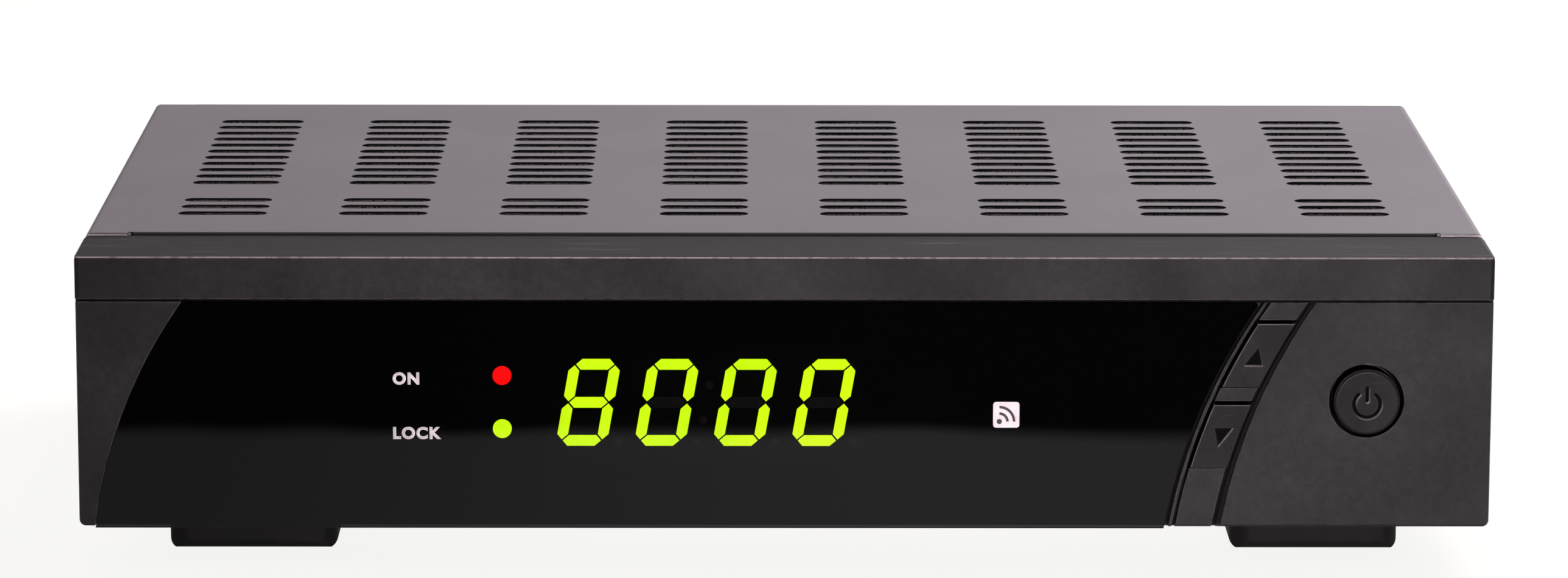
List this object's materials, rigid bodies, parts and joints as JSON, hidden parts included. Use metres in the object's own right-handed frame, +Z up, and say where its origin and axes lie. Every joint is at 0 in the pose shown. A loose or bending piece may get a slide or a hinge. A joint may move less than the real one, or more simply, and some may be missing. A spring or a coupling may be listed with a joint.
{
  "type": "satellite television receiver",
  "caption": "Slim satellite television receiver: curved moulded front with smoked display window and press keys, slotted folded steel cover, rubber feet and rear sockets.",
  "frame": {"origin": "on the supporting surface, under the middle of the overall bounding box", "axes": "+X to the right seen from the front, +Y towards the rear sockets, +Z up; the front faces -Y"},
  "size_m": [0.2276, 0.1524, 0.0524],
  "materials": {
    "front_moulding": "fine spark-eroded grain, low sheen",
    "smoked_window": "polished smoked acrylic",
    "key_plastic": "smooth satin",
    "plunger_plastic": "moulded",
    "switch_body": "moulded body with a pressed metal cap",
    "board_green": "green lacquer over fibreglass",
    "board_tan": "bare phenolic paper",
    "zinc_screw": "bright zinc",
    "black_screw": "black zinc",
    "display_case": "moulded with a dark face",
    "lit_segment": "glowing yellow-green",
    "unlit_segment": "clear resin over a dark chip",
    "red_lamp": "glowing red, diffused",
    "green_lamp": "glowing yellow-green, diffused",
    "sensor_resin": "dark infra-red resin",
    "header_nylon": "natural nylon",
    "ribbon_vinyl": "grey vinyl",
    "cover_paint": "fine satin powder coat",
    "pan_steel": "galvanised sheet",
    "foot_rubber": "smooth moulded rubber",
    "chip_epoxy": "moulded epoxy",
    "cpu_fins": "grey anodised",
    "capacitor_sleeve": "shrunk sleeve",
    "bulk_sleeve": "shrunk sleeve",
    "tin_plate": "tinned sheet",
    "nickel": "bright nickel",
    "socket_black": "glass-filled nylon",
    "contact_brass": "plated spring contacts",
    "insert_yellow": "moulded",
    "insert_white": "moulded",
    "insert_red": "moulded",
    "ferrite": "sintered ferrite",
    "coil_tape": "yellow polyester tape",
    "heatsink_plate": "extruded",
    "transistor_epoxy": "moulded epoxy with a bare tab",
    "choke_wire": "enamelled copper on black bobbin",
    "fuse_glass": "glass tube with nickel caps",
    "harness_vinyl": "stranded wires in vinyl"
  },
  "bodies": {
    "case": {"front_bezel": "front_moulding", "display_window": "smoked_window", "tact_switches": "switch_body", "front_pcb": "board_green", "main_pcb": "board_green", "supply_pcb": "board_tan", "front_pcb_screws": "zinc_screw", "pcb_screws": "zinc_screw", "foot_screws": "zinc_screw", "cover_screws": "black_screw", "display_module": "display_case", "led_holder": "display_case", "lit_segments": "lit_segment", "dark_segments": "unlit_segment", "power_led": "red_lamp", "signal_led": "green_lamp", "ir_receiver": "sensor_resin", "ribbon_headers": "header_nylon", "ribbon_cable": "ribbon_vinyl", "top_cover": "cover_paint", "chassis_pan": "pan_steel", "foot_front_left": "foot_rubber", "foot_front_right": "foot_rubber", "foot_rear_left": "foot_rubber", "foot_rear_right": "foot_rubber", "main_processor": "chip_epoxy", "memory_chips": "chip_epoxy", "processor_heatsink": "cpu_fins", "electrolytic_capacitors": "capacitor_sleeve", "bulk_capacitor": "bulk_sleeve", "tuner_can": "tin_plate", "lnb_in_connector": "nickel", "lnb_out_connector": "nickel", "connector_nuts": "nickel", "rca_shells": "nickel", "serial_shell": "nickel", "serial_jackscrews": "nickel", "inlet_pins": "nickel", "scart_socket": "socket_black", "rca_block": "socket_black", "serial_insert": "socket_black", "mains_inlet": "socket_black", "scart_contacts": "contact_brass", "rca_insert_yellow": "insert_yellow", "rca_insert_white": "insert_white", "rca_insert_red": "insert_red", "transformer_core": "ferrite", "transformer_winding": "coil_tape", "supply_heatsink": "heatsink_plate", "power_transistor": "transistor_epoxy", "line_choke": "choke_wire", "fuse": "fuse_glass", "supply_harness": "harness_vinyl"},
    "power_button": {"power_button": "key_plastic", "power_plunger": "plunger_plastic"},
    "channel_up": {"channel_up_key": "key_plastic", "channel_up_plunger": "plunger_plastic"},
    "channel_down": {"channel_down_key": "key_plastic", "channel_down_plunger": "plunger_plastic"}
  },
  "joints": [
    {"name": "power_button_press", "type": "slide", "parent": "case", "child": "power_button", "axis": [0, 1, 0], "range_m": [0, 0.0005], "stiffness_N_per_m": 500, "springref_m": -0.0025},
    {"name": "channel_up_press", "type": "slide", "parent": "case", "child": "channel_up", "axis": [0, 1, 0], "range_m": [0, 0.0005], "stiffness_N_per_m": 500, "springref_m": -0.0025},
    {"name": "channel_down_press", "type": "slide", "parent": "case", "child": "channel_down", "axis": [0, 1, 0], "range_m": [0, 0.0005], "stiffness_N_per_m": 500, "springref_m": -0.0025}
  ]
}
